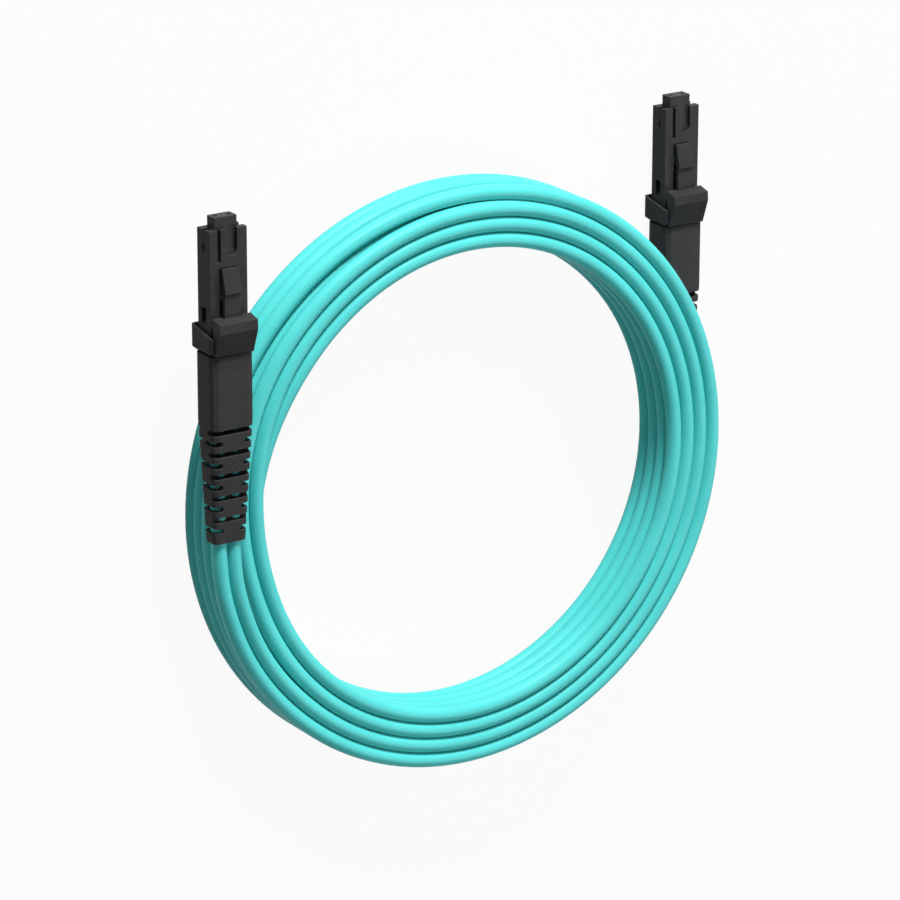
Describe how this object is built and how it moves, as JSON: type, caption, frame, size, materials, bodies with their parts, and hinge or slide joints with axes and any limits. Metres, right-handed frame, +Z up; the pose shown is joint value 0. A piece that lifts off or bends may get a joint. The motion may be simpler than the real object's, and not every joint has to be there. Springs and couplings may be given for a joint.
{
  "type": "duplex fibre patch cord",
  "caption": "Coiled aqua duplex fibre patch cord with a small latched rectangular plug and a slotted strain boot on each end.",
  "frame": {"origin": "on the surface the cord lies on, midway between the two plugs", "axes": "+Y along both plugs, out of their mouths; +X from plug a to plug b; +Z up"},
  "size_m": [0.1152, 0.114, 0.019],
  "materials": {
    "black_plastic": "satin moulded plastic",
    "black_rubber": "soft moulded, fine satin",
    "ferrule_plastic": "smooth, hard",
    "jacket": "satin jacket",
    "crimp_metal": "plated",
    "spring_steel": "drawn wire",
    "fibre_glass": "bare fibre"
  },
  "bodies": {
    "cord": {"plug_housing_a": "black_plastic", "rear_collar_a": "black_plastic", "spring_body_a": "black_plastic", "crimp_ring_a": "crimp_metal", "strain_boot_a": "black_rubber", "ferrule_spring_a": "spring_steel", "cable_end_a": "jacket", "plug_housing_b": "black_plastic", "rear_collar_b": "black_plastic", "spring_body_b": "black_plastic", "crimp_ring_b": "crimp_metal", "strain_boot_b": "black_rubber", "ferrule_spring_b": "spring_steel", "cable_end_b": "jacket", "cable_coil": "jacket", "cable_tail_a": "jacket", "cable_tail_b": "jacket"},
    "trigger_body_a": {"release_trigger_a": "black_plastic"},
    "latch_body_a": {"latch_arm_a": "black_plastic"},
    "ferrule_body_a": {"ferrule_a": "ferrule_plastic", "ferrule_boot_a": "black_rubber", "spring_seat_a": "black_plastic", "fibre_pair_a": "fibre_glass"},
    "trigger_body_b": {"release_trigger_b": "black_plastic"},
    "latch_body_b": {"latch_arm_b": "black_plastic"},
    "ferrule_body_b": {"ferrule_b": "ferrule_plastic", "ferrule_boot_b": "black_rubber", "spring_seat_b": "black_plastic", "fibre_pair_b": "fibre_glass"}
  },
  "joints": [
    {"name": "trigger_hinge_a", "type": "hinge", "parent": "cord", "child": "trigger_body_a", "pos_m": [-0.05327, 0.00415, 0.01682], "axis": [-0.9979, 0, -0.0644], "range_deg": [0, 7], "stiffness_Nm_per_rad": 0.02},
    {"name": "latch_flex_a", "type": "hinge", "parent": "cord", "child": "latch_body_a", "pos_m": [-0.05315, 0.0188, 0.01502], "axis": [0.9979, 0, 0.0644], "range_deg": [0, 5.04]},
    {"name": "ferrule_slide_a", "type": "slide", "parent": "cord", "child": "ferrule_body_a", "axis": [0, -1, 0], "range_m": [0, 0.0008], "stiffness_N_per_m": 1500, "deforming": ["ferrule_spring_a"]},
    {"name": "trigger_hinge_b", "type": "hinge", "parent": "cord", "child": "trigger_body_b", "pos_m": [0.05282, 0.00655, 0.00713], "axis": [-0.9979, 0, -0.0644], "range_deg": [0, 7], "stiffness_Nm_per_rad": 0.02},
    {"name": "latch_flex_b", "type": "hinge", "parent": "cord", "child": "latch_body_b", "pos_m": [0.05294, 0.0212, 0.00533], "axis": [0.9979, 0, 0.0644], "range_deg": [0, 5.04]},
    {"name": "ferrule_slide_b", "type": "slide", "parent": "cord", "child": "ferrule_body_b", "axis": [0, -1, 0], "range_m": [0, 0.0008], "stiffness_N_per_m": 1500, "deforming": ["ferrule_spring_b"]}
  ],
  "couplings": [
    {"joint": "latch_flex_a", "follows": "trigger_hinge_a", "ratio": 0.72},
    {"joint": "latch_flex_b", "follows": "trigger_hinge_b", "ratio": 0.72}
  ]
}
